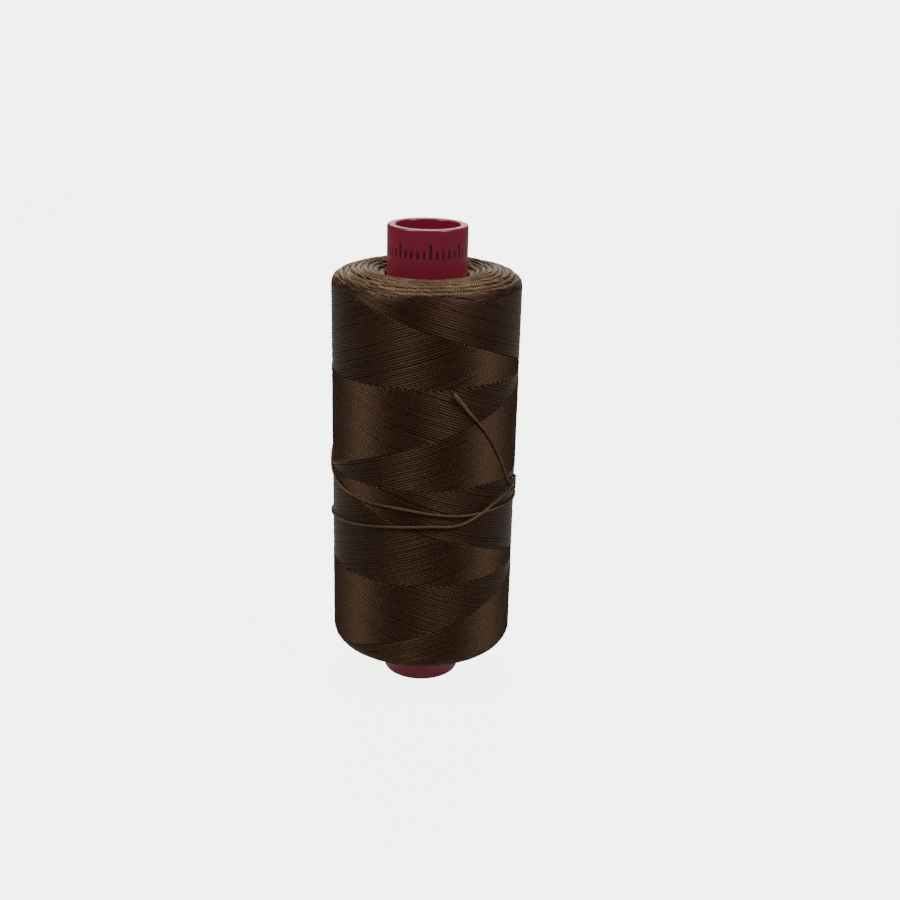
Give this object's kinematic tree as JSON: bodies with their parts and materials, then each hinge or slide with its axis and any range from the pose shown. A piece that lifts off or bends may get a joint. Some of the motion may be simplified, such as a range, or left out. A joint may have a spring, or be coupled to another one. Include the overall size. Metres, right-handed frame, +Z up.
{
  "type": "waxed thread spool",
  "caption": "Straight plastic tube carrying a cross-wound package of waxed leather sewing thread, with its loose end wrapped round and tucked under itself.",
  "frame": {"origin": "centre of the tube's bottom rim, on the surface that the spool stands on", "axes": "+Z up along the tube's axis; -Y is the side where the thread's free end lies"},
  "size_m": [0.0472, 0.0468, 0.115],
  "materials": {
    "moulded_tube": "glossy moulded crimson plastic",
    "thread_inner": "waxed twisted thread, dark brown",
    "thread_outer": "waxed twisted thread, dark brown, satin",
    "thread_end": "waxed twisted thread, dark brown, satin"
  },
  "bodies": {
    "root": {"spool_tube": "moulded_tube", "thread_inner_lays": "thread_inner", "thread_outer_lay": "thread_outer", "thread_end_wraps": "thread_end", "thread_free_end": "thread_end"}
  },
  "joints": []
}
